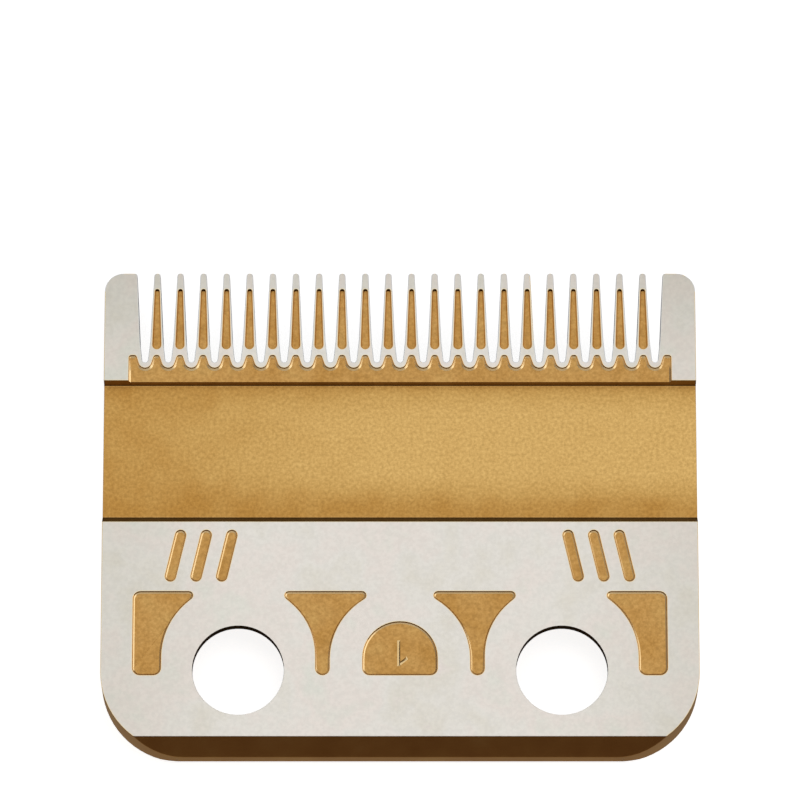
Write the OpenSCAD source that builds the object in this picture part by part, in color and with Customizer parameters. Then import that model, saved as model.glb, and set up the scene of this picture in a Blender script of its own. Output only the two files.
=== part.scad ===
// Fixed blade of a hair clipper, one steel plate lying on its skin side
// Front is +Y, where the teeth are. The lapped face is up.

/* [Plate] */
// Width from side to side
blade_w = 47; // [45.5:0.5:52]
// Length from the rear edge to the tooth tips
blade_l = 39.2; // [38:0.1:42]
// Thickness at the screw holes
blade_t = 3.5; // [3.2:0.1:4.5]
// Radius of the two rear corners in plan
rear_corner_r = 6.5; // [3:0.5:8]
// Radius of the outer front corners of the guards
guard_corner_r = 1.5; // [0.5:0.1:1.8]
// How far the bevel along the top rear edge runs in from the rear
rear_bevel_run = 1.3; // [0.8:0.1:2]
// How far that bevel drops below the lapped face
rear_bevel_drop = 1.75; // [1:0.05:2.5]
// Flat length of the skin side, from the rear edge
skin_flat_l = 24.5; // [22:0.5:28]
// Thickness left at the tooth tips by the sloping skin side
tip_t = 1; // [0.8:0.1:1.4]
// Rounding under the tooth tips and along the bottom rear edge
skin_edge_r = 0.4; // [0.2:0.05:0.6]

/* [Comb] */
// Number of teeth between the two guards
tooth_count = 22; // [18:1:25]
// Width of the two guards at their tips
guard_w = 2.58; // [2.4:0.02:4]
// Length of the teeth, from the tips to the bottom of the gaps
tooth_l = 7.4; // [6.6:0.1:8.4]
// Width of a tooth at its tip
tooth_tip_w = 0.49; // [0.46:0.01:0.7]
// Width of a tooth where the throats of its gaps start
tooth_throat_w = 1.02; // [0.92:0.01:1.1]
// Width of a tooth at the rounded bottoms of its gaps
tooth_root_w = 1.4; // [1.3:0.01:1.5]
// Length of the throat, from the bottom of a gap
throat_l = 1.75; // [1.4:0.05:2]
// Rounding of the tooth tips in plan
tip_r = 0.2; // [0.1:0.02:0.22]
// Bevel that leads hair into the gaps on the skin side
lead_in = 0.12; // [0.06:0.02:0.16]

/* [Tooth slots] */
// Distance from the tooth tip to its slot
slot_from_tip = 1.3; // [1.2:0.05:2.5]
// Land left between a slot and the scallop behind it
slot_to_scallop = 0.5; // [0.3:0.05:1]
// Width of the slot at its root end
slot_root_w = 0.72; // [0.5:0.02:0.76]
// Width of the slot at its tip end
slot_tip_w = 0.38; // [0.3:0.02:0.42]
// Depth of the slots
slot_depth = 0.28; // [0.15:0.01:0.4]
// How far the slot walls slope inwards
slot_wall_run = 0.08; // [0.04:0.01:0.1]

/* [Scalloped relief] */
// Depth of the relief between the comb and the channel
relief_depth = 0.3; // [0.2:0.05:0.45]
// Land left between the bottom of a gap and the valley round it
scallop_rim = 0.45; // [0.3:0.05:0.7]
// Height of the scallops above the valleys
scallop_h = 1.05; // [0.8:0.05:1.2]
// Length of the relief from the valleys to the channel
relief_l = 1.05; // [0.6:0.05:1.5]
// Width of a scallop between its flanks, at its top
scallop_top_w = 0.4; // [0.38:0.02:0.46]
// Width of a valley round a gap, where it meets the scallops' flanks
scallop_valley_w = 0.77; // [0.74:0.01:0.9]
// Rounding at the top of a scallop
scallop_top_r = 0.2; // [0.15:0.01:0.22]

/* [Drive channel] */
// Length of the rear land, from the rear edge to the channel
rear_land_l = 18.7; // [18.6:0.1:20]
// Depth of the channel
channel_depth = 0.9; // [0.6:0.1:1.2]
// How far the front wall leans forward over its height
channel_front_run = 0.16; // [0.05:0.01:0.3]
// How far the rear wall leans back over its height
channel_rear_run = 0.55; // [0.2:0.05:0.8]
// Rounding where the channel walls meet its floor
channel_floor_r = 0.15; // [0.05:0.05:0.3]

/* [Screw holes] */
// Distance between the two screw holes
hole_spacing = 25.4; // [24.8:0.1:26]
// Diameter of the screw holes
hole_d = 7.2; // [6:0.1:7.6]
// Distance from the rear edge to the hole centres
hole_from_rear = 6.6; // [6.4:0.1:6.8]
// Thickness of the land that the screw heads clamp
screw_land_t = 1.05; // [0.9:0.05:1.4]
// Diameter of the recess for the screw heads on the skin side
head_recess_d = 9.6; // [9:0.1:10]

/* [Land pockets] */
// Depth of the pockets in the rear land
pocket_depth = 0.22; // [0.16:0.02:0.4]
// How far the pocket walls curve inwards
pocket_wall_run = 0.15; // [0.08:0.01:0.22]
// Distance from the rear edge to the lower ends of the pockets
pocket_from_rear = 6.2; // [5.6:0.1:6.4]
// Length of the corner pockets and funnels, front to rear
pocket_l = 6.8; // [6.5:0.1:7]
// Distance from the plate's side to the corner pockets
corner_pocket_from_side = 2.5; // [2.3:0.1:2.8]
// Width of a corner pocket at its foot
corner_pocket_foot_w = 2.25; // [1.9:0.05:2.3]
// Width of a corner pocket along its top, to its sharp point
corner_pocket_top_w = 5.35; // [5.2:0.05:5.5]
// Length of a corner pocket's head, where its side sweeps in
corner_pocket_head_l = 2.5; // [2.35:0.05:2.6]
// Radius of that sweep
corner_pocket_sweep_r = 5.9; // [5:0.1:5.9]
// Rounding of a corner pocket's corners
corner_pocket_r = 0.6; // [0.4:0.05:0.65]
// Distance from the plate's middle to the axis of a funnel's stem
funnel_from_middle = 6.08; // [6:0.01:6.2]
// Width of a funnel's stem
funnel_stem_w = 1.11; // [1:0.01:1.2]
// Reach of a funnel's outer wing from the stem axis, to its sharp point
funnel_outer_reach = 3.57; // [3.5:0.01:3.65]
// Reach of a funnel's inner wing from the stem axis, to its sharp point
funnel_inner_reach = 4.27; // [4.2:0.01:4.35]
// Length of a funnel's head at its outer side
funnel_outer_head_l = 2.6; // [2.5:0.05:2.7]
// Length of a funnel's head at its inner side
funnel_inner_head_l = 2.33; // [2.3:0.01:2.4]
// Radius of the sweep under a funnel's wings
funnel_sweep_r = 5.7; // [5:0.1:5.7]
// Rounding of the pockets' pointed tips
pocket_tip_r = 0.34; // [0.28:0.01:0.35]
// Width of the arched pocket in the middle
arch_w = 5.88; // [5:0.02:6.2]
// Length of the arched pocket, front to rear
arch_l = 4.35; // [4:0.05:4.6]
// Rounding of the arched pocket's two corners
arch_corner_r = 0.55; // [0.4:0.05:0.6]

/* [Land bars] */
// Number of slanted bars on each side
bar_count = 3; // [1:1:3]
// Distance from one bar to the next
bar_pitch = 2.02; // [1.9:0.01:2.1]
// Distance from the plate's middle to the middle one of each three
bar_from_middle = 15.66; // [15.5:0.01:15.8]
// Distance from the rear edge to the bars' middles
bar_from_rear = 15.9; // [15.8:0.1:16]
// Length of a bar between the centres of its round ends
bar_l = 3.43; // [3:0.01:3.5]
// Width of a bar
bar_w = 0.87; // [0.7:0.01:0.9]
// Lean of the bars towards the middle, in degrees
bar_lean = 13; // [5:1:18]

/* [Hidden] */
blade_colour = "goldenrod";
// Largest distance between a rounding and the straight pieces that draw it
arc_tolerance = 0.007;
hole_fn = 96;
// Overrun that lets every cut clear the face it starts from
over = 0.4;
// Smoothing where the gap flanks meet the throat
throat_r = 2;
// Points of an outline that lie closer than this are one point
merge_gap = 0.005;

y_tip = blade_l / 2;
y_rear = -blade_l / 2;
y_hole = y_rear + hole_from_rear;
z_face = blade_t;
gap_count = tooth_count + 1;
tooth_pitch = (blade_w - 2 * guard_w + tooth_tip_w) / gap_count;
gap_tip_w = tooth_pitch - tooth_tip_w;
gap_throat_w = tooth_pitch - tooth_throat_w;
gap_root_w = tooth_pitch - tooth_root_w;
scallop_base_w = tooth_pitch - scallop_valley_w;
scallop_valley_from_tip = tooth_l + scallop_rim;
scallop_top_from_tip = scallop_valley_from_tip - scallop_h;
slot_l = scallop_top_from_tip - slot_to_scallop - slot_from_tip;
channel_from_tip = scallop_valley_from_tip + relief_l;
channel_l = blade_l - channel_from_tip - rear_land_l;
skin_slope = (blade_t - tip_t) / (blade_l - skin_flat_l);

// Wall profile of the land pockets: share of the depth, share of the run
pocket_wall_shares = [[0.65, 0.35], [1, 1]];
// Wall profile of the tooth slots, one plain slope
slot_wall_shares = [[1, 1]];

// Points of a closed outline whose corners [x, y, r] are rounded by r
function rounded(path) = distinct([
    for (i = [0 : len(path) - 1])
        each corner_arc(path[(i + len(path) - 1) % len(path)], path[i], path[(i + 1) % len(path)])
]);

function distinct(points) = [
    for (i = [0 : len(points) - 1])
        if (norm(points[(i + 1) % len(points)] - points[i]) > merge_gap) points[i]
];

// Radius that rounds an end of width w fully, where its sides flare by run over rise
function full_r(w, run, rise) = w / 2 * tan(45 + atan(run / rise) / 2);

function unit(v) = v / norm(v);
function plan(p) = [p[0], p[1]];

function corner_arc(before, corner, after) =
    corner[2] == 0 ? [plan(corner)] : let (
        u = unit(plan(before) - plan(corner)),
        v = unit(plan(after) - plan(corner)),
        half = acos(u * v) / 2,
        middle = plan(corner) + unit(u + v) * corner[2] / sin(half),
        start = u * corner[2] / tan(half) + plan(corner) - middle,
        turn = (180 - 2 * half) * sign(u[1] * v[0] - u[0] * v[1]),
        step = 2 * acos(1 - arc_tolerance / corner[2]),
        count = max(1, ceil(abs(turn) / step))
    ) [for (i = [0 : count]) middle + turned(start, turn * i / count)];

function turned(v, angle) = [
    v[0] * cos(angle) - v[1] * sin(angle),
    v[0] * sin(angle) + v[1] * cos(angle)
];

// The outline moved inwards by d, or outwards where d is negative
function inset(outline, d) = [
    for (i = [0 : len(outline) - 1])
        let (
            e1 = unit(outline[i] - outline[(i + len(outline) - 1) % len(outline)]),
            e2 = unit(outline[(i + 1) % len(outline)] - outline[i]),
            normals = [-e1[1] - e2[1], e1[0] + e2[0]]
        ) outline[i] + d * normals / (1 + e1 * e2)
];

function ring(outline, z) = [for (p = outline) [p[0], p[1], z]];
function mirrored(path) = [for (i = [len(path) - 1 : -1 : 0]) [-path[i][0], path[i][1], path[i][2]]];

// Solid through a stack of rings with equal counts of points, lowest first
module loft(rings) {
    n = len(rings[0]);
    top = (len(rings) - 1) * n;
    polyhedron(
        points = [for (r = rings) each r],
        faces = concat(
            [[for (i = [0 : n - 1]) i]],
            [for (k = [0 : len(rings) - 2]) for (i = [0 : n - 1])
                [k * n + i, (k + 1) * n + i, (k + 1) * n + (i + 1) % n]],
            [for (k = [0 : len(rings) - 2]) for (i = [0 : n - 1])
                [k * n + i, (k + 1) * n + (i + 1) % n, k * n + (i + 1) % n]],
            [[for (i = [n - 1 : -1 : 0]) top + i]]
        )
    );
}

// Cutter for a pocket sunk in the lapped face, with its wall profile
module sunk(outline, depth, run, wall_shares) {
    rise = over * run * wall_shares[0][1] / (depth * wall_shares[0][0]);
    loft(concat(
        [for (i = [len(wall_shares) - 1 : -1 : 0])
            ring(inset(outline, run * wall_shares[i][1]), z_face - depth * wall_shares[i][0])],
        [ring(inset(outline, -rise), z_face + over)]
    ));
}

// Corners of the gap at x, from its right tooth to its left one
function gap_path(x) = let (
    root_r = full_r(gap_root_w, (gap_throat_w - gap_root_w) / 2, throat_l)
) [
    [x + gap_tip_w / 2, y_tip, tip_r],
    [x + gap_throat_w / 2, y_tip - tooth_l + throat_l, throat_r],
    [x + gap_root_w / 2, y_tip - tooth_l, root_r],
    [x - gap_root_w / 2, y_tip - tooth_l, root_r],
    [x - gap_throat_w / 2, y_tip - tooth_l + throat_l, throat_r],
    [x - gap_tip_w / 2, y_tip, tip_r]
];

function gap_x(i) = (i - (gap_count - 1) / 2) * tooth_pitch;
function tooth_x(i) = (i - (tooth_count - 1) / 2) * tooth_pitch;

// The whole plan outline, with the comb at the front
function plate_path() = concat(
    [[-blade_w / 2, y_rear, rear_corner_r],
     [blade_w / 2, y_rear, rear_corner_r],
     [blade_w / 2, y_tip, guard_corner_r]],
    [for (i = [gap_count - 1 : -1 : 0]) each gap_path(gap_x(i))],
    [[-blade_w / 2, y_tip, guard_corner_r]]
);

// Side profile in [y, z], with the rear bevel and the sloping skin side
function side_path() = [
    [y_rear, 0, skin_edge_r],
    [y_rear + skin_flat_l, 0, 0],
    [y_tip, blade_t - tip_t, skin_edge_r],
    [y_tip, z_face, 0],
    [y_rear + rear_bevel_run, z_face, 0],
    [y_rear, z_face - rear_bevel_drop, 0]
];

module across(width) {
    translate([-width / 2, 0, 0]) rotate([90, 0, 90]) linear_extrude(width) children();
}

module plate() {
    intersection() {
        translate([0, 0, -over]) linear_extrude(blade_t + 2 * over) polygon(rounded(plate_path()));
        across(blade_w + 2 * over) polygon(rounded(side_path()));
    }
}

// Channel in which the moving blade is driven, right across the plate
module channel() {
    front = y_tip - channel_from_tip;
    rear = front - channel_l;
    floor_z = z_face - channel_depth;
    front_lean = over * channel_front_run / channel_depth;
    rear_lean = over * channel_rear_run / channel_depth;
    across(blade_w + 2 * over) polygon(rounded([
        [rear + channel_rear_run, floor_z, channel_floor_r],
        [front - channel_front_run, floor_z, channel_floor_r],
        [front + front_lean, z_face + over, 0],
        [rear - rear_lean, z_face + over, 0]
    ]));
}

// Corners of one scallop, from its right foot to its left one
function scallop_path(x) = let (
    valley_r = full_r(scallop_valley_w, (scallop_base_w - scallop_top_w) / 2, scallop_h)
) [
    [x + scallop_base_w / 2, y_tip - scallop_valley_from_tip, valley_r],
    [x + scallop_top_w / 2, y_tip - scallop_top_from_tip, scallop_top_r],
    [x - scallop_top_w / 2, y_tip - scallop_top_from_tip, scallop_top_r],
    [x - scallop_base_w / 2, y_tip - scallop_valley_from_tip, valley_r]
];

// Shallow relief between the comb and the channel, scalloped round the gaps
module relief() {
    end_x = gap_x(gap_count - 1) + tooth_pitch / 2;
    side_x = end_x + (scallop_top_w + scallop_base_w) / 4;
    top_y = y_tip - scallop_top_from_tip;
    back_y = y_tip - channel_from_tip - channel_l / 2;
    right = scallop_path(end_x);
    left = scallop_path(-end_x);
    path = concat(
        [[-side_x, back_y, 0], [side_x, back_y, 0]],
        [[side_x, top_y, scallop_top_r], right[2], right[3]],
        [for (i = [tooth_count - 1 : -1 : 0]) each scallop_path(tooth_x(i))],
        [left[0], left[1], [-side_x, top_y, scallop_top_r]]
    );
    translate([0, 0, z_face - relief_depth])
        linear_extrude(relief_depth + over) polygon(rounded(path));
}

// Slot sunk in each tooth, wider at its root end
module tooth_slot() {
    front = y_tip - slot_from_tip;
    taper = (slot_root_w - slot_tip_w) / 2;
    root_r = full_r(slot_root_w, -taper, slot_l);
    end_r = full_r(slot_tip_w, taper, slot_l);
    outline = rounded([
        [-slot_root_w / 2, front - slot_l, root_r],
        [slot_root_w / 2, front - slot_l, root_r],
        [slot_tip_w / 2, front, end_r],
        [-slot_tip_w / 2, front, end_r]
    ]);
    sunk(outline, slot_depth, slot_wall_run, slot_wall_shares);
}

// Bevel along both flanks of a gap on the sloping skin side
module gap_lead_in() {
    flare = (gap_tip_w - gap_throat_w) / (tooth_l - throat_l) / 2;
    right = [
        [gap_root_w / 2, y_tip - tooth_l],
        [gap_throat_w / 2, y_tip - tooth_l + throat_l],
        [gap_tip_w / 2 + flare * over, y_tip + over]
    ];
    outline = concat(right, [for (i = [2 : -1 : 0]) [-right[i][0], right[i][1]]]);
    rise = lead_in / 4;
    loft([
        skin_ring(inset(outline, -lead_in - rise), -rise),
        skin_ring(inset(outline, rise), lead_in + rise)
    ]);
}

function skin_ring(outline, lift) = [for (p = outline) [p[0], p[1], skin_z(p[1]) + lift]];

function skin_z(y) = max(0, (y - y_rear - skin_flat_l) * skin_slope);

// Screw hole with the recess for the screw head on the skin side
module screw_hole() {
    translate([0, 0, -over]) cylinder(d = hole_d, h = blade_t + 2 * over, $fn = hole_fn);
    translate([0, 0, -over])
        cylinder(d = head_recess_d, h = over + blade_t - screw_land_t, $fn = hole_fn);
}

module land_pocket(path) {
    sunk(rounded(path), pocket_depth, pocket_wall_run, pocket_wall_shares);
}

// Corner pocket on the left, whose inner side sweeps round the screw hole
function corner_pocket_path() = let (
    x = -blade_w / 2 + corner_pocket_from_side,
    y = y_rear + pocket_from_rear
) [
    [x, y, corner_pocket_r],
    [x + corner_pocket_foot_w, y, corner_pocket_r],
    [x + corner_pocket_foot_w, y + pocket_l - corner_pocket_head_l, corner_pocket_sweep_r],
    [x + corner_pocket_top_w, y + pocket_l, pocket_tip_r],
    [x, y + pocket_l, corner_pocket_r]
];

// Funnel on the left, between the screw hole and the arched pocket
function funnel_path() = let (
    x = -funnel_from_middle,
    y = y_rear + pocket_from_rear,
    stem_r = funnel_stem_w / 2
) [
    [x - funnel_stem_w / 2, y, stem_r],
    [x + funnel_stem_w / 2, y, stem_r],
    [x + funnel_stem_w / 2, y + pocket_l - funnel_inner_head_l, funnel_sweep_r],
    [x + funnel_inner_reach, y + pocket_l, pocket_tip_r],
    [x - funnel_outer_reach, y + pocket_l, pocket_tip_r],
    [x - funnel_stem_w / 2, y + pocket_l - funnel_outer_head_l, funnel_sweep_r]
];

// Arched pocket in the middle, its round top a half circle
function arch_path() = let (
    y = y_rear + pocket_from_rear,
    top_r = arch_w / 2
) [
    [-arch_w / 2, y, arch_corner_r],
    [arch_w / 2, y, arch_corner_r],
    [arch_w / 2, y + arch_l, top_r],
    [-arch_w / 2, y + arch_l, top_r]
];

function bar_path() = let (
    x = bar_w / 2,
    y = (bar_l + bar_w) / 2,
    r = bar_w / 2
) [[-x, -y, r], [x, -y, r], [x, y, r], [-x, y, r]];

// Slanted bars on the right, leaning towards the middle
module bars() {
    for (i = [0 : bar_count - 1])
        translate([bar_from_middle + (i - (bar_count - 1) / 2) * bar_pitch, y_rear + bar_from_rear, 0])
            rotate([0, 0, bar_lean]) land_pocket(bar_path());
}

module fixed_blade() {
    color(blade_colour) difference() {
        plate();
        channel();
        relief();
        for (i = [0 : tooth_count - 1]) translate([tooth_x(i), 0, 0]) tooth_slot();
        for (i = [0 : gap_count - 1]) translate([gap_x(i), 0, 0]) gap_lead_in();
        for (side = [-1, 1]) translate([side * hole_spacing / 2, y_hole, 0]) screw_hole();
        land_pocket(corner_pocket_path());
        land_pocket(mirrored(corner_pocket_path()));
        land_pocket(funnel_path());
        land_pocket(mirrored(funnel_path()));
        land_pocket(arch_path());
        bars();
        mirror([1, 0, 0]) bars();
    }
}

fixed_blade();
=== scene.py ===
# %% [markdown]
# # A hair clipper's fixed blade
# The blade is one steel plate: pressed, coated matt gold all over, and then
# ground flat on its top face. The grinding takes the coating off everything
# that stands at full height and leaves it in every channel, pocket and slot.
# So the looks come from a few finishes on one form: ground steel on the flat
# land, bare cut steel between the teeth, and elsewhere a gold coating whose
# colour is changed from place to place by painted highlight and painted shade.

# %% The imported model and its measures
import math

import bmesh
import bpy
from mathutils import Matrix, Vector


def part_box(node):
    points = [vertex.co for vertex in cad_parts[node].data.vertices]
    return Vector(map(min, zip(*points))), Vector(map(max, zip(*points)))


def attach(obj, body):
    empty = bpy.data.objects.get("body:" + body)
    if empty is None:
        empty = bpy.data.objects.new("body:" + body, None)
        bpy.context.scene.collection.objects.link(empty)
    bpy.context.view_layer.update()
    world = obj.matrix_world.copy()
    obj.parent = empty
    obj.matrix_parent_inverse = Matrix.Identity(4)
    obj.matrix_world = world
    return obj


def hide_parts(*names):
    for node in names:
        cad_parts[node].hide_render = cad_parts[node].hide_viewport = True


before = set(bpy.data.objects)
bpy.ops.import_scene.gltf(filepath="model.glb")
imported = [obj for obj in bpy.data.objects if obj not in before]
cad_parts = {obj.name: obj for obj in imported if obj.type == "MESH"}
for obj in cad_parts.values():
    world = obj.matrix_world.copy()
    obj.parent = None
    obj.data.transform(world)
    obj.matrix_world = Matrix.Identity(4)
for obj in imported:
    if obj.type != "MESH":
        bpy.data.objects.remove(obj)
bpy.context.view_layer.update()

MM = 0.001
BLADE_NODE = "fixed_blade"
low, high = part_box(BLADE_NODE)
land_z = high.z
rear_y, tip_y = low.y, high.y
print("blade", [round(v / MM, 3) for v in (high - low)], "mm")

# %% [markdown]
# ## Where the features lie
# The finish follows the form, so the script needs a few heights and lines of
# the plate. They are the real sizes of the blade, measured from its tips,
# its rear edge or its land.

# %% Sizes of the blade that the finishes follow
RELIEF_DEPTH = 0.3 * MM
POCKET_DEPTH = 0.22 * MM
TOOTH_LENGTH = 7.4 * MM
CHANNEL_FROM_TIPS = 8.9 * MM
CHANNEL_LENGTH = 11.6 * MM
CHANNEL_DEPTH = 0.9 * MM
HOLE_PITCH = 25.4 * MM
HOLES_FROM_REAR = 6.6 * MM
HOLE_RADIUS = 3.6 * MM
relief_z = land_z - RELIEF_DEPTH
pocket_z = land_z - POCKET_DEPTH
channel_z = land_z - CHANNEL_DEPTH
comb_root_y = tip_y - TOOTH_LENGTH
channel_front_y = tip_y - CHANNEL_FROM_TIPS
channel_rear_y = channel_front_y - CHANNEL_LENGTH
holes = [Vector((side * HOLE_PITCH / 2, rear_y + HOLES_FROM_REAR)) for side in (-1, 1)]
print("channel from y", round(channel_rear_y / MM, 2), "to", round(channel_front_y / MM, 2), "mm")

# %% [markdown]
# ## Colours and nodes
# Colours are written as sRGB hex values, as a paint chart gives them, and one
# function turns them linear. Another adds a node with its settings and links,
# which keeps each material down to the lines that matter. An input without a
# name of its own is called by its number, so i6 is input number 6.

# %% Colour and node helpers
def colour(hex_value):
    """sRGB hex to the linear RGBA that shaders want."""
    channels = [int(hex_value[i:i + 2], 16) / 255 for i in (1, 3, 5)]
    linear = [c / 12.92 if c <= 0.04045 else ((c + 0.055) / 1.055) ** 2.4 for c in channels]
    return (*linear, 1.0)


def add(tree, kind, settings=None, **inputs):
    """A node with its settings. Inputs are values, or sockets to link from."""
    node = tree.nodes.new(kind)
    for name, value in (settings or {}).items():
        setattr(node, name, value)
    for name, value in inputs.items():
        key = int(name[1:]) if name[0] == "i" and name[1:].isdigit() else name.replace("_", " ")
        socket = node.inputs[key]
        if isinstance(value, bpy.types.NodeSocket):
            tree.links.new(value, socket)
        else:
            socket.default_value = value
    return node


def new_material(name):
    """An empty node material with its output."""
    material = bpy.data.materials.new(name)
    material.use_nodes = True
    material.node_tree.nodes.clear()
    return material, material.node_tree


def ramp(tree, factor, stops):
    """A colour ramp from (place, hex colour) stops."""
    node = add(tree, "ShaderNodeValToRGB", Fac=factor)
    elements = node.color_ramp.elements
    while len(elements) < len(stops):
        elements.new(0.5)
    for element, (place, hex_value) in zip(elements, stops):
        element.position = place
        element.color = colour(hex_value)
    return node.outputs["Color"]


print("mid grey #808080 is", round(colour("#808080")[0], 3), "linear")

# %% [markdown]
# ## Ground steel
# The land was ground on a flat wheel and lapped. That leaves a bright, finely
# lined face which isn't quite clean: thin films of oil and oxide tint it
# cream, grey-green and pink in soft clouds a few millimetres wide. The lines
# are some hundredths of a millimetre apart, which is finer than the picture
# shows, so they are drawn a little coarser and very shallow. The two ends and
# the tips are painted a little darker, a painted shade where the lamps'
# reflection falls off.

# %% Ground steel
GRINDING_LINE = 0.09 * MM
LINE_DEPTH = 0.01 * MM
SPECK = 0.28 * MM
FILM_CLOUD = 4.6 * MM
SHADE_FROM_X = 13 * MM
SHADE_TO_X = 22 * MM
SHADED_TIPS = 7.6 * MM


def ground_steel():
    material, tree = new_material("steel_ground_and_lapped")
    place = add(tree, "ShaderNodeTexCoord").outputs["Object"]
    clouds = add(tree, "ShaderNodeTexNoise", Vector=place, Scale=1 / FILM_CLOUD, Detail=4.0,
                 Roughness=0.55)
    films = ramp(tree, clouds.outputs["Fac"], [
        (0.30, "#e1e0d6"), (0.44, "#e8e0d8"), (0.54, "#e6e2da"), (0.66, "#e2ddd2"), (0.78, "#ebe0db")])
    specks = add(tree, "ShaderNodeTexNoise", Vector=place, Scale=1 / SPECK, Detail=2.0)
    speckle = ramp(tree, specks.outputs["Fac"], [(0.35, "#e9e9e9"), (0.65, "#ffffff")])
    tint = add(tree, "ShaderNodeMix", {"data_type": "RGBA", "blend_type": "MULTIPLY"},
               i0=0.35, i6=films, i7=speckle)
    where = add(tree, "ShaderNodeSeparateXYZ", Vector=place)
    aside = add(tree, "ShaderNodeMath", {"operation": "ABSOLUTE"}, i0=where.outputs["X"])
    to_end = add(tree, "ShaderNodeMapRange", Value=aside.outputs[0], From_Min=SHADE_FROM_X,
                 From_Max=SHADE_TO_X)
    to_tip = add(tree, "ShaderNodeMapRange", Value=where.outputs["Y"],
                 From_Min=tip_y - SHADED_TIPS, From_Max=tip_y)
    # Painted shade: darker towards the two ends and towards the tips.
    for near, hex_value in ((to_end, "#f4f4f2"), (to_tip, "#ededeb")):
        end_shade = ramp(tree, near.outputs["Result"], [(0.0, "#ffffff"), (1.0, hex_value)])
        tint = add(tree, "ShaderNodeMix", {"data_type": "RGBA", "blend_type": "MULTIPLY"},
                   i0=1.0, i6=tint.outputs[2], i7=end_shade)
    stretch = add(tree, "ShaderNodeMapping", Vector=place, Scale=(1.0, 0.06, 1.0))
    lines = add(tree, "ShaderNodeTexNoise", Vector=stretch.outputs["Vector"],
                Scale=1 / GRINDING_LINE, Detail=2.0)
    bump = add(tree, "ShaderNodeBump", Strength=0.06, Distance=LINE_DEPTH,
               Height=lines.outputs["Fac"])
    sheen = add(tree, "ShaderNodeMapRange", Value=clouds.outputs["Fac"], To_Min=0.30, To_Max=0.38)
    shader = add(tree, "ShaderNodeBsdfPrincipled", Base_Color=tint.outputs[2], Metallic=1.0,
                 Roughness=sheen.outputs["Result"], Normal=bump.outputs["Normal"])
    add(tree, "ShaderNodeOutputMaterial", Surface=shader.outputs["BSDF"])
    return material


print("film clouds", round(FILM_CLOUD / MM, 2), "mm, lines", round(GRINDING_LINE / MM, 2), "mm")

# %% [markdown]
# ## Gold coating
# A thin hard nitride film over a blasted surface: matt, warm and full of tiny
# facets that sparkle here and there. The grain of the blasting is about a
# tenth of a millimetre, and is drawn at a quarter so that it shows. Slow
# clouds of slightly browner film lie over it.

# %% Matt gold coating
BLAST_GRAIN = 0.26 * MM
GRAIN_DEPTH = 0.02 * MM
COATING_CLOUD = 2.6 * MM


def coating_shader(tree, place, film, roughness):
    """A matt coating with blasted grain, over a film colour that is given."""
    grain = add(tree, "ShaderNodeTexNoise", Vector=place, Scale=1 / BLAST_GRAIN, Detail=4.0,
                Roughness=0.65)
    glints = ramp(tree, grain.outputs["Fac"], [
        (0.34, "#dad5cc"), (0.50, "#eeeae3"), (0.66, "#ffffff")])
    tint = add(tree, "ShaderNodeMix", {"data_type": "RGBA", "blend_type": "MULTIPLY"},
               i0=0.9, i6=film, i7=glints)
    bump = add(tree, "ShaderNodeBump", Strength=0.30, Distance=GRAIN_DEPTH,
               Height=grain.outputs["Fac"])
    shader = add(tree, "ShaderNodeBsdfPrincipled", Base_Color=tint.outputs[2], Metallic=1.0,
                 Roughness=roughness, Normal=bump.outputs["Normal"])
    add(tree, "ShaderNodeOutputMaterial", Surface=shader.outputs["BSDF"])


def gold_coating():
    material, tree = new_material("gold_nitride_coating_blasted")
    place = add(tree, "ShaderNodeTexCoord").outputs["Object"]
    clouds = add(tree, "ShaderNodeTexNoise", Vector=place, Scale=1 / COATING_CLOUD, Detail=3.0)
    film = ramp(tree, clouds.outputs["Fac"], [
        (0.30, "#c79752"), (0.52, "#d0a25f"), (0.72, "#d3a966")])
    coating_shader(tree, place, film, 0.42)
    return material


print("blasted grain", round(BLAST_GRAIN / MM, 2), "mm")

# %% [markdown]
# ## Burnished walls
# The punch burnishes the walls that it slides along, so the film is smoother
# there and mirrors the lamps and the dark room more sharply. The low walls of
# the pockets get a paler film, a painted highlight that makes their lit sides
# read cream, and the land's rounded edge gets the palest, a painted highlight
# line. One function makes them all, because they differ only in their film and
# in how smooth it is.

# %% Coating on burnished walls
def burnished_coating(name, stops, roughness):
    """A smooth coating without grain, from the stops of its film."""
    material, tree = new_material("gold_nitride_coating_" + name)
    place = add(tree, "ShaderNodeTexCoord").outputs["Object"]
    clouds = add(tree, "ShaderNodeTexNoise", Vector=place, Scale=1 / COATING_CLOUD, Detail=4.0)
    film = ramp(tree, clouds.outputs["Fac"], stops)
    shader = add(tree, "ShaderNodeBsdfPrincipled", Base_Color=film, Metallic=1.0,
                 Roughness=roughness)
    add(tree, "ShaderNodeOutputMaterial", Surface=shader.outputs["BSDF"])
    return material


WALL_FILM = [(0.32, "#cc9a58"), (0.55, "#d6a661"), (0.70, "#dcb06c")]
# Paler film for the pocket walls, a painted highlight colour that makes their lit sides cream.
PAINTED_HIGHLIGHT_WALL_FILM = [(0.32, "#dfbf88"), (0.55, "#e5c793"), (0.70, "#ead09e")]
# Palest film for the land's rounded edge, a painted highlight line.
PAINTED_HIGHLIGHT_EDGE_FILM = [(0.32, "#ecd7ab"), (0.55, "#efdcb4"), (0.70, "#f2e0bd")]
print("films from thick to worn", [film[1][1] for film in (WALL_FILM, PAINTED_HIGHLIGHT_WALL_FILM, PAINTED_HIGHLIGHT_EDGE_FILM)])

# %% [markdown]
# ## The channel's painted light
# The moving blade slides to and fro in the channel. Its floor is painted
# paler in the middle, a painted highlight, and darker towards the two edges
# by the walls, a painted shade, and it is also darker towards its -X end. So
# the film's colour comes from a measure of painted light, across the channel
# times along it, with slow clouds on top.

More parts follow.
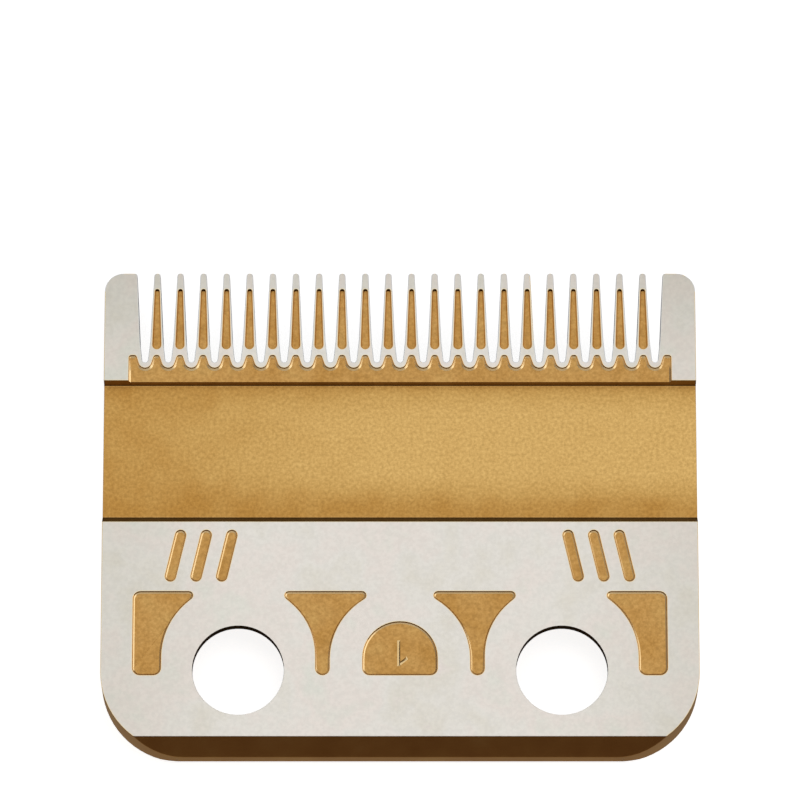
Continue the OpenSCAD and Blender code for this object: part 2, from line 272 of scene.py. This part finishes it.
# %% Coating in the channel
SHADE_FROM_MIDDLE = 5.6 * MM
HIGHLIGHT_HALF_WIDTH = 2.0 * MM
HIGHLIGHT_FROM_FRONT = 5.0 * MM
highlight_middle_y = channel_front_y - HIGHLIGHT_FROM_FRONT
DARKER_END_X = -24 * MM
PALER_END_X = 2 * MM


def channel_coating():
    material, tree = new_material("gold_nitride_coating_channel_painted_light")
    place = add(tree, "ShaderNodeTexCoord").outputs["Object"]
    where = add(tree, "ShaderNodeSeparateXYZ", Vector=place)
    off_middle = add(tree, "ShaderNodeMath", {"operation": "SUBTRACT"}, i0=where.outputs["Y"],
                     i1=highlight_middle_y)
    off_middle = add(tree, "ShaderNodeMath", {"operation": "ABSOLUTE"}, i0=off_middle.outputs[0])
    # Painted highlight in the middle of the floor, painted shade towards its edges.
    across = add(tree, "ShaderNodeMapRange", {"interpolation_type": "SMOOTHSTEP"},
                 Value=off_middle.outputs[0], From_Min=SHADE_FROM_MIDDLE, From_Max=HIGHLIGHT_HALF_WIDTH,
                 To_Min=0.1, To_Max=1.0)
    # Darker towards the -X end.
    along = add(tree, "ShaderNodeMapRange", {"interpolation_type": "SMOOTHSTEP"},
                Value=where.outputs["X"], From_Min=DARKER_END_X, From_Max=PALER_END_X,
                To_Min=0.25, To_Max=1.0)
    painted_light = add(tree, "ShaderNodeMath", {"operation": "MULTIPLY"}, i0=across.outputs[0],
                 i1=along.outputs[0])
    clouds = add(tree, "ShaderNodeTexNoise", Vector=place, Scale=1 / COATING_CLOUD, Detail=3.0)
    cloudy = add(tree, "ShaderNodeMapRange", Value=clouds.outputs["Fac"], From_Min=0.3,
                 From_Max=0.7, To_Min=-0.12, To_Max=0.12)
    painted_light_and_clouds = add(tree, "ShaderNodeMath", {"operation": "ADD"}, i0=painted_light.outputs[0],
               i1=cloudy.outputs[0])
    film = ramp(tree, painted_light_and_clouds.outputs[0], [(0.0, "#c4934b"), (0.5, "#d8ae67"), (1.0, "#e4bc75")])
    coating_shader(tree, place, film, 0.38)
    return material


print("most rubbed at y", round(highlight_middle_y / MM, 2), "mm")

# %% [markdown]
# ## Painted shade
# A brown film paints shade on the channel's front wall, and on those walls of
# the relief and the pockets that look to the rear. A nearly black film paints
# deeper shade on the channel's rear wall and at the slots' narrow ends.

# %% Films of painted shade
PAINTED_SHADE_FILM = [(0.32, "#7c5d32"), (0.55, "#846437"), (0.70, "#8d6c3e")]
PAINTED_DEEP_SHADE_FILM = [(0.32, "#31210e"), (0.55, "#352410"), (0.70, "#3a2913")]
print("oiled and caked", PAINTED_SHADE_FILM[1][1], PAINTED_DEEP_SHADE_FILM[1][1])

# %% [markdown]
# ## Cut steel
# The gaps are cut through after the coating, so the flanks of the teeth are
# bare. The cutter leaves fine upright lines on them, drawn here as bands of
# two greys that are stretched along Z.

# %% Cut steel between the teeth
def cut_steel():
    material, tree = new_material("steel_cut_bare")
    place = add(tree, "ShaderNodeTexCoord").outputs["Object"]
    stretch = add(tree, "ShaderNodeMapping", Vector=place, Scale=(1.0, 1.0, 0.1))
    lines = add(tree, "ShaderNodeTexNoise", Vector=stretch.outputs["Vector"],
                Scale=1 / GRINDING_LINE, Detail=2.0)
    tint = ramp(tree, lines.outputs["Fac"], [(0.3, "#cfd1d2"), (0.7, "#dedfde")])
    shader = add(tree, "ShaderNodeBsdfPrincipled", Base_Color=tint, Metallic=1.0, Roughness=0.36)
    add(tree, "ShaderNodeOutputMaterial", Surface=shader.outputs["BSDF"])
    return material


print("flank lines", round(GRINDING_LINE / MM, 2), "mm apart")

# %% All the finishes of the blade
GROUND, COATED, CUT, CHANNEL, WALL, PAINTED_HIGHLIGHT_WALL, PAINTED_HIGHLIGHT_EDGE, PAINTED_SHADE, PAINTED_DEEP_SHADE = range(9)
finishes = [ground_steel(), gold_coating(), cut_steel(), channel_coating(),
            burnished_coating("burnished", WALL_FILM, 0.27),
            burnished_coating("painted_highlight_wall", PAINTED_HIGHLIGHT_WALL_FILM, 0.30),
            burnished_coating("painted_highlight_edge", PAINTED_HIGHLIGHT_EDGE_FILM, 0.34),
            burnished_coating("painted_shade", PAINTED_SHADE_FILM, 0.32),
            burnished_coating("painted_deep_shade", PAINTED_DEEP_SHADE_FILM, 0.32)]
print("finishes", [m.name for m in finishes])

# %% [markdown]
# ## The form to finish
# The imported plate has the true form, but its mesh is loose triangles with
# knife-sharp edges, and no real edge is sharp. So a copy is merged, its flat
# faces are joined again, and it is finished as the real plate is. The copy
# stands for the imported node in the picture.

# %% Merge a copy of the plate
MERGE_DISTANCE = 0.002 * MM
FLAT_ANGLE = math.radians(0.3)

plate = bmesh.new()
plate.from_mesh(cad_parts[BLADE_NODE].data)
bmesh.ops.remove_doubles(plate, verts=plate.verts, dist=MERGE_DISTANCE)
open_edges = sum(1 for e in plate.edges if not e.is_manifold)
bmesh.ops.dissolve_limit(plate, angle_limit=FLAT_ANGLE, verts=plate.verts, edges=plate.edges)
print("merged plate:", len(plate.faces), "faces,", open_edges, "open edges")

# %% [markdown]
# ## Sloping walls of the relief
# A pressed recess has no upright walls, or the plate would stick to its
# punch. The foot of the scalloped wall is moved inwards, square to the wall,
# which gives it a little draft. Moving points keeps the many facets of the
# scallops joined, which a boolean cut with a sloping tool might not.

# %% Draft on the relief's walls
RELIEF_DRAFT = 0.05 * MM
HEIGHT_TOLERANCE = 0.004 * MM
UPRIGHT = 0.05
SAME_WAY = 0.9999
FRONT_SLOPE = 0.1 * MM


def wall_normals(vert):
    """Flat directions of the upright relief walls that meet at a vertex."""
    found = []
    for face in vert.link_faces:
        heights = [v.co.z for v in face.verts]
        stands_on_floor = min(heights) > relief_z - HEIGHT_TOLERANCE
        if abs(face.normal.z) < UPRIGHT and stands_on_floor and max(heights) > relief_z:
            flat = Vector((face.normal.x, face.normal.y, 0)).normalized()
            if all(flat.dot(other) < SAME_WAY for other in found):
                found.append(flat)
    return found


moves = {}
plate.normal_update()
for vert in plate.verts:
    if abs(vert.co.z - relief_z) < HEIGHT_TOLERANCE and vert.co.y > channel_front_y - FRONT_SLOPE:
        walls = wall_normals(vert)
        if len(walls) == 1:
            moves[vert] = walls[0] * RELIEF_DRAFT
        elif len(walls) == 2:
            spread = 1 + walls[0].dot(walls[1])
            moves[vert] = (walls[0] + walls[1]) * (RELIEF_DRAFT / spread)
for vert, move in moves.items():
    vert.co += move
print("relief foot points moved:", len(moves))

# %% [markdown]
# A punch has no sharp corners either, so the wall runs out into the floor in
# a small slope, as the pockets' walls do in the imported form. That slope is
# what catches the light along the left side of every recess. Only inward
# edges at the foot of a wall get it.

# %% Sloping foot of the relief's walls
RELIEF_FOOT = 0.12 * MM
FLOOR_LEVEL = 0.999
WALL_SLOPE = 0.5


def is_foot(edge):
    """An inward edge between the relief's floor and a wall."""
    if len(edge.link_faces) != 2 or edge.is_convex:
        return False
    if any(abs(v.co.z - relief_z) > HEIGHT_TOLERANCE for v in edge.verts):
        return False
    slopes = sorted(abs(f.normal.z) for f in edge.link_faces)
    return slopes[0] < WALL_SLOPE and slopes[1] > FLOOR_LEVEL


plate.normal_update()
feet = [edge for edge in plate.edges if is_foot(edge)]
bmesh.ops.bevel(plate, geom=feet, offset=RELIEF_FOOT, offset_type="OFFSET", segments=1,
                affect="EDGES", clamp_overlap=False)
print("feet sloped:", len(feet))

# %% [markdown]
# ## Zones of finish
# Which finish a face has follows from where it lies and which way it looks, so
# a Geometry Nodes tree gives them out. It makes a few plain tests of each
# face's middle and normal, and each zone is the faces that pass all of its
# tests. A later zone covers an earlier one: coating everywhere, then the
# walls, the pale pocket walls of painted highlight, the brown and nearly black
# walls of painted shade, the comb's cut flanks, the channel's floor, and last
# the ground land.

# %% Zones of finish, and the tests for each
LOOKS_ALONG = 0.5
ZONE_SIZES = ("Land Height", "Height Tolerance", "Comb Root", "Flank Height", "Wall Slope",
              "Pocket Walls", "Channel Floor", "Channel Rear", "Channel Front", "Slot Ends")
ZONES = (
    (COATED, ()),
    (WALL, ("sloping",)),
    # Pocket walls get the pale film that paints highlight.
    (PAINTED_HIGHLIGHT_WALL, ("sloping", "high")),
    # Walls that look to the rear, the channel's rear wall and the slot ends get brown and nearly black
    # films that paint shade.
    (PAINTED_SHADE, ("sloping", "past channel rear", "behind channel front", "looks to rear")),
    (PAINTED_DEEP_SHADE, ("sloping", "past channel rear", "behind channel front", "looks to tips")),
    (PAINTED_SHADE, ("steep", "high", "looks to rear")),
    (PAINTED_DEEP_SHADE, ("steep", "high", "looks to rear", "at slot ends")),
    (CUT, ("upright", "low", "in comb")),
    (CHANNEL, ("on channel floor",)),
    (GROUND, ("at land",)))
print("zones", len(ZONES), "from sizes", ZONE_SIZES)


# %% Geometry Nodes tree that gives out the finishes
def zone_tree():
    tree = bpy.data.node_groups.new("zones_of_finish", "GeometryNodeTree")
    sockets = tree.interface
    sockets.new_socket("Geometry", in_out="INPUT", socket_type="NodeSocketGeometry")
    for name in ZONE_SIZES:
        sockets.new_socket(name, in_out="INPUT", socket_type="NodeSocketFloat")
    sockets.new_socket("Geometry", in_out="OUTPUT", socket_type="NodeSocketGeometry")
    given = add(tree, "NodeGroupInput").outputs
    position = add(tree, "GeometryNodeInputPosition").outputs[0]
    middle = add(tree, "ShaderNodeSeparateXYZ", Vector=position).outputs
    direction = add(tree, "GeometryNodeInputNormal").outputs[0]
    normal = add(tree, "ShaderNodeSeparateXYZ", Vector=direction).outputs
    land = add(tree, "ShaderNodeMath", {"operation": "SUBTRACT"}, i0=given["Land Height"],
               i1=given["Height Tolerance"]).outputs[0]
    slope = add(tree, "ShaderNodeMath", {"operation": "ABSOLUTE"}, i0=normal["Z"]).outputs[0]
    tests = {}
    for name, value, operation, limit in (
            ("sloping", slope, "LESS_THAN", given["Wall Slope"]),
            ("steep", slope, "LESS_THAN", WALL_SLOPE),
            ("upright", slope, "LESS_THAN", UPRIGHT),
            ("looks to rear", normal["Y"], "LESS_THAN", -LOOKS_ALONG),
            ("looks to tips", normal["Y"], "GREATER_THAN", LOOKS_ALONG),
            ("high", middle["Z"], "GREATER_THAN", given["Pocket Walls"]),
            ("low", middle["Z"], "LESS_THAN", given["Flank Height"]),
            ("at land", middle["Z"], "GREATER_THAN", land),
            ("past channel rear", middle["Y"], "GREATER_THAN", given["Channel Rear"]),
            ("behind channel front", middle["Y"], "LESS_THAN", given["Channel Front"]),
            ("in comb", middle["Y"], "GREATER_THAN", given["Comb Root"]),
            ("at slot ends", middle["Y"], "GREATER_THAN", given["Slot Ends"])):
        tests[name] = add(tree, "FunctionNodeCompare", {"operation": operation}, i0=value,
                          i1=limit).outputs[0]
    tests["on channel floor"] = add(
        tree, "FunctionNodeCompare", {"operation": "EQUAL"}, i0=middle["Z"],
        i1=given["Channel Floor"], Epsilon=HEIGHT_TOLERANCE).outputs[0]
    joined = add(tree, "GeometryNodeRealizeInstances", Geometry=given["Geometry"]).outputs[0]
    for finish, needed in ZONES:
        step = add(tree, "GeometryNodeSetMaterial", Geometry=joined, Material=finishes[finish])
        passed = None
        for name in needed:
            passed = tests[name] if passed is None else add(
                tree, "FunctionNodeBooleanMath", {"operation": "AND"}, i0=passed,
                i1=tests[name]).outputs[0]
        if passed is not None:
            tree.links.new(passed, step.inputs["Selection"])
        joined = step.outputs[0]
    add(tree, "NodeGroupOutput", Geometry=joined)
    return tree


zones = zone_tree()
print("zone tree:", len(zones.nodes), "nodes")


# %% The plate with its finishes
def with_nodes(piece, tree, values):
    """The piece's mesh after a Geometry Nodes tree, as a plain mesh.

    The tree's inputs are set by identifier, before the piece is first evaluated.
    """
    modifier = piece.modifiers.new("made", "NODES")
    modifier.node_group = tree
    for socket in tree.interface.items_tree:
        if socket.in_out == "INPUT" and socket.name in values:
            modifier[socket.identifier] = values[socket.name]
    graph = bpy.context.evaluated_depsgraph_get()
    mesh = bpy.data.meshes.new_from_object(piece.evaluated_get(graph), depsgraph=graph)
    piece.modifiers.remove(modifier)
    return mesh


FLANK_CLEARANCE = 0.35 * MM
STEEPEST_FLOOR = 0.88
BELOW_SLOT_ENDS = 3 * MM
blade_mesh = bpy.data.meshes.new("blade_finished")
for finish in finishes:
    blade_mesh.materials.append(finish)
plate.to_mesh(blade_mesh)
plate.free()
blade = bpy.data.objects.new("blade_finished", blade_mesh)
bpy.context.scene.collection.objects.link(blade)
blade.data = with_nodes(blade, zones, {
    "Land Height": land_z, "Height Tolerance": HEIGHT_TOLERANCE,
    "Comb Root": comb_root_y - HEIGHT_TOLERANCE, "Flank Height": land_z - FLANK_CLEARANCE,
    "Wall Slope": STEEPEST_FLOOR, "Pocket Walls": relief_z, "Channel Floor": channel_z,
    "Channel Rear": channel_rear_y - HEIGHT_TOLERANCE, "Channel Front": channel_front_y,
    "Slot Ends": comb_root_y + BELOW_SLOT_ENDS})
for index, finish in enumerate(blade.data.materials):
    print(finish.name, sum(1 for p in blade.data.polygons if p.material_index == index), "faces")

# %% [markdown]
# ## The cavity number
# Such blades often carry the number of the die they came from. A plain 1 is
# cut as a shallow V groove in the floor of the arched pocket, upside down as
# seen from the rear. A groove is a loss of metal, so it is a boolean cut with
# two slim keel-shaped bars, one for the stem and one for the flag. The V is
# skewed, as a hand-held punch leaves it: its gentle flank gets a pale film, a
# painted highlight for its lit side, and its steep one a brown film, a painted
# shade. The two bars are placed in millimetres from the blade's middle.

# %% Bar that cuts one stroke
GROOVE_WIDTH = 0.23 * MM
GROOVE_DEPTH = 0.075 * MM
GROOVE_SKEW = 0.10 * MM
GENTLE_FLANK, STEEP_FLANK = 0, 1


def keel(mesh, start, end):
    """A bar with a skewed V underside from start to end."""
    along = (end - start).normalized()
    across = Vector((-along.y, along.x, 0))
    side = across * GROOVE_WIDTH
    lift = Vector((0, 0, GROOVE_DEPTH))
    rings = []
    for point, step in ((start, -along), (end, along)):
        base = Vector((point.x, point.y, pocket_z))
        top = base + lift + step * GROOVE_WIDTH
        corners = (base - lift + across * GROOVE_SKEW, top + side, top - side)
        rings.append([mesh.verts.new(c) for c in corners])
    first, last = rings
    mesh.faces.new(first)
    mesh.faces.new(last[::-1])
    for i in range(3):
        flank = mesh.faces.new((first[i], first[(i + 1) % 3], last[(i + 1) % 3], last[i]))
        flank.material_index = STEEP_FLANK if i == 0 else GENTLE_FLANK


print("groove", round(GROOVE_DEPTH / MM, 3), "mm deep")

# %% Cut the number
STEM = (Vector((-0.15, -10.65, 0)) * MM, Vector((-0.15, -12.50, 0)) * MM)
FLAG = (Vector((0.02, -12.47, 0)) * MM, Vector((0.50, -12.09, 0)) * MM)


def cut_stroke(piece, start, end):
    """Cuts one stroke out of the piece, with a boolean that is applied."""
    mesh = bmesh.new()
    keel(mesh, start, end)
    bmesh.ops.recalc_face_normals(mesh, faces=mesh.faces)
    data = bpy.data.meshes.new("cutter")
    mesh.to_mesh(data)
    mesh.free()
    # The gentle flank gets the pale film of painted highlight, the steep flank the brown film of
    # painted shade.
    data.materials.append(finishes[PAINTED_HIGHLIGHT_WALL])
    data.materials.append(finishes[PAINTED_SHADE])
    cutter = bpy.data.objects.new("cutter", data)
    bpy.context.scene.collection.objects.link(cutter)
    cut = piece.modifiers.new("cut", "BOOLEAN")
    cut.operation = "DIFFERENCE"
    cut.solver = "EXACT"
    cut.material_mode = "TRANSFER"
    cut.object = cutter
    graph = bpy.context.evaluated_depsgraph_get()
    result = bpy.data.meshes.new_from_object(piece.evaluated_get(graph), depsgraph=graph)
    piece.modifiers.remove(cut)
    piece.data = result
    bpy.data.objects.remove(cutter)


before = len(blade.data.polygons)
for start, end in (STEM, FLAG):
    cut_stroke(blade, start, end)
print("number cut:", len(blade.data.polygons) - before, "faces more")

# %% [markdown]
# ## Broken edges
# Grinding and tumbling leave a tiny round on every outer edge, a few
# hundredths of a millimetre. It is too small to see as a shape, but it is
# what draws the thin bright and dark lines round the pockets and teeth. Only
# outward edges get it, and not the upright joints between the short
# facets of a rounding, which are smoothed by their normals.

# %% Round the edges
EDGE_ROUND = 0.055 * MM
EDGE_STEPS = 2
SHARP = math.radians(28)
STEEPEST_RUN = 0.7
CLEAR_OF_TABLE = 0.075 * MM
RIM = len(finishes)


def needs_round(edge):
    """An outward sharp edge that neither stands upright nor lies on the table."""
    if not edge.is_manifold or not edge.is_convex or edge.calc_face_angle(0) < SHARP:
        return False
    run = edge.verts[1].co - edge.verts[0].co
    upright = abs(run.z) >= STEEPEST_RUN * run.length
    return not upright and edge.verts[0].co.z > CLEAR_OF_TABLE


form = bmesh.new()
form.from_mesh(blade.data)
form.normal_update()
chosen = [e for e in form.edges if needs_round(e)]
bmesh.ops.bevel(form, geom=chosen, offset=EDGE_ROUND, offset_type="OFFSET",
                segments=EDGE_STEPS, profile=0.5, affect="EDGES", clamp_overlap=False,
                material=RIM)
rims = {f for f in form.faces if f.material_index == RIM}
print("edges rounded:", len(chosen), "rim faces:", len(rims))

# %% [markdown]
# Each new strip takes its finish from the wall it touches, and the strip
# above it from that one. Where the land's edge breaks into a coated wall, the
# upper strip gets the palest film, a painted highlight line along the edge.
# Along the rear bevel and round the bores the wheel has taken the film off
# that strip, so it is bare steel there.

# %% Finish of the rounded strips
index_of = {m.name: i for i, m in enumerate(blade.data.materials)}
ground_index, wall_index, highlight_edge_index = (index_of[finishes[f].name] for f in (GROUND, WALL, PAINTED_HIGHLIGHT_EDGE))
coated = {index_of[finishes[f].name] for f in (COATED, WALL, PAINTED_HIGHLIGHT_WALL, PAINTED_SHADE, PAINTED_DEEP_SHADE)}
waiting = set(rims)
while waiting:
    ready = {}
    for face in waiting:
        for edge in face.edges:
            for other in edge.link_faces:
                if other not in waiting and other.material_index != ground_index:
                    ready[face] = other.material_index
    if not ready:
        break
    for face, finish in ready.items():
        face.material_index = finish
    waiting -= set(ready)
for face in waiting:
    face.material_index = wall_index
print("strips that touch no wall:", len(waiting))

# %% Strips along the land: painted highlight, or bare steel
REAR_EDGE = 2.5 * MM
ALONG_REAR = 0.05
BORE_STRIP = 0.2 * MM
changed = 0
for face in rims:
    beside = {other.material_index for edge in face.edges for other in edge.link_faces}
    if ground_index not in beside or face.material_index not in coated:
        continue
    middle = face.calc_center_median()
    on_bevel = middle.y < rear_y + REAR_EDGE and abs(face.normal.x) < ALONG_REAR
    at_bore = any((middle.xy - hole).length < HOLE_RADIUS + BORE_STRIP for hole in holes)
    # Elsewhere the strip gets the painted highlight line.
    face.material_index = ground_index if on_bevel or at_bore else highlight_edge_index
    changed += 1
print("strips along the land:", changed)

# %% [markdown]
# ## Shading
# The flat floors meet their walls in a crease, however shallow the wall is,
# so those edges are sharp. The rest is sharp by its angle only.

# %% Creases
LEVEL = 0.9999
SHALLOW = math.radians(1)


def is_level(face):
    """A flat floor or land, and no strip of a rounded edge."""
    return abs(face.normal.z) > LEVEL and face not in rims


form.normal_update()
for face in form.faces:
    face.smooth = True
for edge in form.edges:
    sides = edge.link_faces
    by_floor = any(is_level(f) for f in sides) and not any(f in rims for f in sides)
    edge.smooth = edge.calc_face_angle(0) < (SHALLOW if by_floor else SHARP)
form.to_mesh(blade.data)
form.free()
print("blade:", len(blade.data.polygons), "faces")

# %% [markdown]
# Big flat faces must stay flat beside the tiny strips, so the normals are
# weighted by face area, level faces get their own normal at every corner, and
# the piece is made a plain mesh.

# %% Weighted normals, and the finished piece
weigh = blade.modifiers.new("flat_faces_first", "WEIGHTED_NORMAL")
weigh.keep_sharp = True
weigh.weight = 100
graph = bpy.context.evaluated_depsgraph_get()
finished = bpy.data.meshes.new_from_object(blade.evaluated_get(graph), depsgraph=graph)
blade.modifiers.remove(weigh)
normals = [corner.vector.copy() for corner in finished.corner_normals]
for face in finished.polygons:
    if abs(face.normal.z) > LEVEL:
        for corner in face.loop_indices:
            normals[corner] = face.normal.copy()
finished.normals_split_custom_set(normals)
blade.data = finished
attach(blade, "root")
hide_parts(BLADE_NODE)
print("finished blade:", len(finished.polygons), "faces")

# %% [markdown]
# ## Camera
# The photo was taken from far off, nearly straight down and a little from
# the rear, so that the rear wall shows. The tilt and the distance follow from
# how round the screw holes look and how the sides draw together.

# %% Camera
TILT = math.radians(16.5)
DISTANCE = 565.8 * MM
TARGET_FROM_TIPS = 10.52 * MM
FOCAL_PIXELS = 7138
FRAME_PIXELS = 800
SENSOR = 36.0
NEAREST = 0.01

camera_data = bpy.data.cameras.new("camera")
camera_data.sensor_width = SENSOR
camera_data.lens = FOCAL_PIXELS / FRAME_PIXELS * SENSOR
camera_data.clip_start = NEAREST
camera = bpy.data.objects.new("camera", camera_data)
target = Vector((0, tip_y - TARGET_FROM_TIPS, land_z))
camera.location = target + Vector((0, -math.sin(TILT), math.cos(TILT))) * DISTANCE
camera.rotation_euler = (TILT, 0, 0)
bpy.context.scene.collection.objects.link(camera)
bpy.context.scene.camera = camera
print("lens", round(camera_data.lens, 1), "mm")

# %% [markdown]
# ## White table
# The blade lies on a plain white table. For the camera and for mirror rays it
# glows by itself, so that the background is white without more light on the
# blade, and the rest of its white is lamplight, which keeps the soft shadow.

# %% Table
FLOOR_SIZE = 3.0
FLOOR_GLOW = 0.88
SHEET_GAP = 0.03 * MM


def table_material():
    material, tree = new_material("white_table")
    path = add(tree, "ShaderNodeLightPath")
    seen = add(tree, "ShaderNodeMath", {"operation": "MAXIMUM"}, i0=path.outputs["Is Camera Ray"],
               i1=path.outputs["Is Glossy Ray"])
    seen = add(tree, "ShaderNodeMath", {"operation": "MAXIMUM"}, i0=seen.outputs[0],
               i1=path.outputs["Is Transmission Ray"])
    matt = add(tree, "ShaderNodeBsdfDiffuse", Color=colour("#d8d8d8"))
    strength = add(tree, "ShaderNodeMath", {"operation": "MULTIPLY"}, i0=seen.outputs[0],
                   i1=FLOOR_GLOW)
    glow = add(tree, "ShaderNodeEmission", Color=(1, 1, 1, 1), Strength=strength.outputs[0])
    both = add(tree, "ShaderNodeAddShader", i0=matt.outputs[0], i1=glow.outputs[0])
    add(tree, "ShaderNodeOutputMaterial", Surface=both.outputs[0])
    return material


def sheet(name, size, height, material):
    """A flat square sheet below the blade that is staged and not part of it."""
    half = size / 2
    mesh = bpy.data.meshes.new(name)
    mesh.from_pydata([(-half, -half, height), (half, -half, height), (half, half, height),
                      (-half, half, height)], [], [(0, 1, 2, 3)])
    mesh.materials.append(material)
    piece = bpy.data.objects.new(name, mesh)
    bpy.context.scene.collection.objects.link(piece)
    return piece


sheet("table", FLOOR_SIZE, low.z - 2 * SHEET_GAP, table_material())
print("table", FLOOR_SIZE, "m wide")

# %% [markdown]
# ## Painted reflection sheet
# The blade lies on white, yet its metal should mirror dark surroundings: the
# bores nearly black and the rear bevel deep brown. So a sheet under the blade
# glows for mirror rays only and paints what they see: painted shadow, nearly
# black, under the blade, a pale painted pool of light close round it, and
# brown far off. It reaches as far as the table does, or the bevel would mirror
# a white line at the horizon.

# %% Glowing sheet that paints what the metal mirrors
REFLECTION_BAND = 6.0 * MM
BLADE_HALF = (high - low) / 2
BLADE_CORNER = 6.5 * MM


def painted_reflection_material():
    """Paints reflected shade and light by the distance from the blade's outline, a rectangle with
    round corners.
    """
    material, tree = new_material("painted_reflection_sheet")
    place = add(tree, "ShaderNodeTexCoord").outputs["Object"]
    where = add(tree, "ShaderNodeSeparateXYZ", Vector=place)
    outside = []
    for axis, half in (("X", BLADE_HALF.x), ("Y", BLADE_HALF.y)):
        far = add(tree, "ShaderNodeMath", {"operation": "ABSOLUTE"}, i0=where.outputs[axis])
        far = add(tree, "ShaderNodeMath", {"operation": "SUBTRACT"}, i0=far.outputs[0],
                  i1=half - BLADE_CORNER)
        far = add(tree, "ShaderNodeMath", {"operation": "MAXIMUM"}, i0=far.outputs[0], i1=0.0)
        outside.append(far.outputs[0])
    corner = add(tree, "ShaderNodeCombineXYZ", X=outside[0], Y=outside[1])
    far = add(tree, "ShaderNodeVectorMath", {"operation": "LENGTH"}, i0=corner.outputs[0])
    beyond = add(tree, "ShaderNodeMath", {"operation": "SUBTRACT"}, i0=far.outputs["Value"],
                 i1=BLADE_CORNER)
    band = add(tree, "ShaderNodeMapRange", Value=beyond.outputs[0], From_Min=-REFLECTION_BAND,
               From_Max=2 * REFLECTION_BAND)
    # The outline itself lies at one third of the ramp.
    # Painted reflection: black shadow under the blade, a pale pool of light round it, brown far off.
    shade = ramp(tree, band.outputs["Result"], [
        (0.31, "#1a1714"), (0.335, "#8a7c66"), (0.62, "#776a5a"), (0.95, "#54443a")])
    glow = add(tree, "ShaderNodeEmission", Color=shade, Strength=1.0)
    add(tree, "ShaderNodeOutputMaterial", Surface=glow.outputs[0])
    return material


reflection_sheet = sheet("painted_reflection_sheet", FLOOR_SIZE, low.z - SHEET_GAP, painted_reflection_material())
reflection_sheet.visible_camera = False
reflection_sheet.visible_diffuse = False
reflection_sheet.visible_shadow = False
reflection_sheet.visible_transmission = False
print("pad round a blade of", [round(2 * half / MM, 1) for half in BLADE_HALF[:2]], "mm")

# %% [markdown]
# ## Lamps and room
# Metal shows its surroundings, so the surroundings are what lights it. A box
# overhead lights the table and casts the soft shadow, and mirror rays pass it
# by. A lower box on the right draws the bright left walls of the pockets. For
# mirror rays the room is white from 40 degrees up and falls to a warm dark
# band near the horizon, which leaves the rear bevel and the pockets' right
# walls dark. The camera sees plain white, and a dim even grey lights the rest.

# %% Lamps
def soft_box(name, place, size, size_y, radiance):
    """A rectangular lamp that faces the blade, set by how bright its face is."""
    lamp = bpy.data.lights.new(name, "AREA")
    lamp.shape = "RECTANGLE"
    lamp.size = size
    lamp.size_y = size_y
    lamp.energy = radiance * math.pi * size * size_y
    holder = bpy.data.objects.new(name, lamp)
    holder.location = place
    holder.rotation_euler = (Vector((0, 0, 0)) - Vector(place)).to_track_quat("-Z", "Y").to_euler()
    bpy.context.scene.collection.objects.link(holder)
    return holder


overhead = soft_box("overhead_soft_box", (0.12, 0.25, 0.96), 1.31, 0.58, 1.12)
overhead.visible_glossy = False
strip = soft_box("right_soft_box", (0.96, -0.06, 0.26), 1.40, 0.46, 1.45)
print("lamps", [round(lamp.data.energy, 2) for lamp in (overhead, strip)], "W")

# %% Room
BAND_TOP = math.sin(math.radians(12))
WHITE_FROM = math.sin(math.radians(40))

world = bpy.data.worlds.new("room")
bpy.context.scene.world = world
world.use_nodes = True
room = world.node_tree
room.nodes.clear()
rays = add(room, "ShaderNodeLightPath")
direction = add(room, "ShaderNodeTexCoord").outputs["Object"]
height = add(room, "ShaderNodeSeparateXYZ", Vector=direction).outputs["Z"]
walls = ramp(room, height, [(BAND_TOP, "#54443a"), (WHITE_FROM, "#ffffff")])
mirrored = add(room, "ShaderNodeBackground", Color=walls, Strength=1.0)
dim = add(room, "ShaderNodeBackground", Color=colour("#5c5c5c"), Strength=1.0)
white = add(room, "ShaderNodeBackground", Color=(1, 1, 1, 1), Strength=1.0)
gloss = add(room, "ShaderNodeMath", {"operation": "MAXIMUM"}, i0=rays.outputs["Is Glossy Ray"],
            i1=rays.outputs["Is Transmission Ray"])
shown = add(room, "ShaderNodeMixShader", Fac=gloss.outputs[0], i1=dim.outputs[0],
            i2=mirrored.outputs[0])
shown = add(room, "ShaderNodeMixShader", Fac=rays.outputs["Is Camera Ray"],
            i1=shown.outputs[0], i2=white.outputs[0])
add(room, "ShaderNodeOutputWorld", Surface=shown.outputs[0])
bpy.context.scene.view_settings.view_transform = "Standard"
print("room:", len(room.nodes), "nodes")
